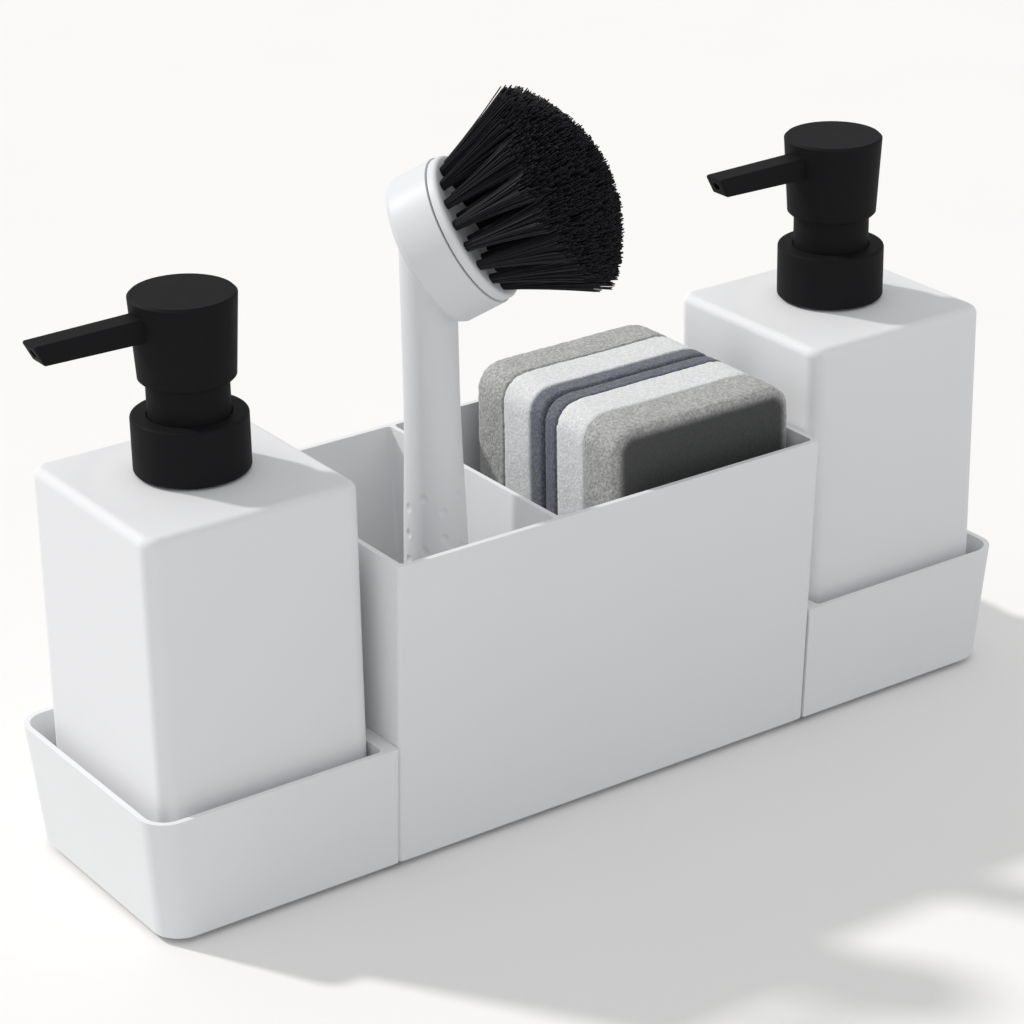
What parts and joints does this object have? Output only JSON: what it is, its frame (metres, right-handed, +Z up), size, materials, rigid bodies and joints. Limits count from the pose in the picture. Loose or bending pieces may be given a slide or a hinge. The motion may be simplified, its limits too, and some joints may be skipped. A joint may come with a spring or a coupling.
{
  "type": "soap pump caddy",
  "caption": "Countertop caddy: tall two-well box with hook-on trays, pump soap bottles, a round dish brush and layered foam sponges.",
  "frame": {"origin": "middle of the box's flat underside; the anti-slip pads reach 1.5 mm below it", "axes": "+X along the caddy's length, from the left tray to the right tray; +Y to the back; +Z up"},
  "size_m": [0.3353, 0.1126, 0.2336],
  "materials": {
    "white_plastic": "matt moulded polypropylene",
    "bottle_plastic": "matt blow-moulded plastic",
    "black_plastic": "matt black moulded plastic",
    "natural_plastic": "natural translucent plastic",
    "steel": "bright stainless steel",
    "seal_rubber": "soft grey rubber",
    "pad_rubber": "soft pale rubber",
    "bristle_nylon": "black nylon filament",
    "sponge_grey": "coarse speckled foam",
    "sponge_white": "open-cell white foam",
    "sponge_slate": "fine slate-blue foam"
  },
  "bodies": {
    "caddy": {"centre_box": "white_plastic", "box_feet": "pad_rubber"},
    "left_tray_body": {"left_tray": "white_plastic", "left_tray_feet": "pad_rubber"},
    "left_bottle_body": {"left_bottle": "bottle_plastic"},
    "left_pump_core": {"left_pump_body": "natural_plastic", "left_stem_guide": "black_plastic", "left_gasket": "seal_rubber", "left_spring": "steel", "left_inlet_ball": "steel", "left_dip_tube": "natural_plastic"},
    "left_collar_body": {"left_collar": "black_plastic"},
    "left_plunger": {"left_stem": "natural_plastic", "left_piston": "natural_plastic"},
    "left_head_body": {"left_pump_head": "black_plastic"},
    "right_tray_body": {"right_tray": "white_plastic", "right_tray_feet": "pad_rubber"},
    "right_bottle_body": {"right_bottle": "bottle_plastic"},
    "right_pump_core": {"right_pump_body": "natural_plastic", "right_stem_guide": "black_plastic", "right_gasket": "seal_rubber", "right_spring": "steel", "right_inlet_ball": "steel", "right_dip_tube": "natural_plastic"},
    "right_collar_body": {"right_collar": "black_plastic"},
    "right_plunger": {"right_stem": "natural_plastic", "right_piston": "natural_plastic"},
    "right_head_body": {"right_pump_head": "black_plastic"},
    "brush": {"brush_handle": "white_plastic", "bristle_plate": "white_plastic", "bristles": "bristle_nylon"},
    "front_sponge": {"sponge_front_grey": "sponge_grey", "sponge_front_white": "sponge_white", "sponge_front_slate": "sponge_slate"},
    "rear_sponge": {"sponge_rear_grey": "sponge_grey", "sponge_rear_white": "sponge_white", "sponge_rear_slate": "sponge_slate"}
  },
  "joints": [
    {"name": "left_tray_lift", "type": "slide", "parent": "caddy", "child": "left_tray_body", "axis": [0, 0, 1], "range_m": [0, 0.06]},
    {"name": "left_bottle_lift", "type": "slide", "parent": "left_tray_body", "child": "left_bottle_body", "axis": [0, 0, 1], "range_m": [0, 0.06]},
    {"name": "left_pump_rise", "type": "slide", "parent": "left_bottle_body", "child": "left_pump_core", "axis": [0, 0, 1], "range_m": [0, 0.0064]},
    {"name": "left_collar_turn", "type": "hinge", "parent": "left_pump_core", "child": "left_collar_body", "pos_m": [-0.1215, -0.002, 0.1294], "axis": [0, 0, 1], "range_deg": [0, 540]},
    {"name": "left_press", "type": "slide", "parent": "left_pump_core", "child": "left_plunger", "axis": [0, 0, -1], "range_m": [0, 0.01], "stiffness_N_per_m": 500, "springref_m": -0.008, "deforming": ["left_spring"]},
    {"name": "left_head_turn", "type": "hinge", "parent": "left_plunger", "child": "left_head_body", "pos_m": [-0.1215, -0.002, 0.1294], "axis": [0, 0, 1], "continuous": true},
    {"name": "right_tray_lift", "type": "slide", "parent": "caddy", "child": "right_tray_body", "axis": [0, 0, 1], "range_m": [0, 0.06]},
    {"name": "right_bottle_lift", "type": "slide", "parent": "right_tray_body", "child": "right_bottle_body", "axis": [0, 0, 1], "range_m": [0, 0.06]},
    {"name": "right_pump_rise", "type": "slide", "parent": "right_bottle_body", "child": "right_pump_core", "axis": [0, 0, 1], "range_m": [0, 0.0064]},
    {"name": "right_collar_turn", "type": "hinge", "parent": "right_pump_core", "child": "right_collar_body", "pos_m": [0.1215, -0.002, 0.1294], "axis": [0, 0, 1], "range_deg": [0, 540]},
    {"name": "right_press", "type": "slide", "parent": "right_pump_core", "child": "right_plunger", "axis": [0, 0, -1], "range_m": [0, 0.01], "stiffness_N_per_m": 500, "springref_m": -0.008, "deforming": ["right_spring"]},
    {"name": "right_head_turn", "type": "hinge", "parent": "right_plunger", "child": "right_head_body", "pos_m": [0.1215, -0.002, 0.1294], "axis": [0, 0, 1], "continuous": true},
    {"name": "brush_lift", "type": "slide", "parent": "caddy", "child": "brush", "axis": [0, 0, 1], "range_m": [0, 0.11]},
    {"name": "front_sponge_lift", "type": "slide", "parent": "caddy", "child": "front_sponge", "axis": [0, 0, 1], "range_m": [0, 0.05]},
    {"name": "rear_sponge_lift", "type": "slide", "parent": "caddy", "child": "rear_sponge", "axis": [0, 0, 1], "range_m": [0, 0.05]}
  ],
  "couplings": [
    {"joint": "left_pump_rise", "follows": "left_collar_turn", "m_per_rad": 0.0006737},
    {"joint": "right_pump_rise", "follows": "right_collar_turn", "m_per_rad": 0.0006737}
  ]
}
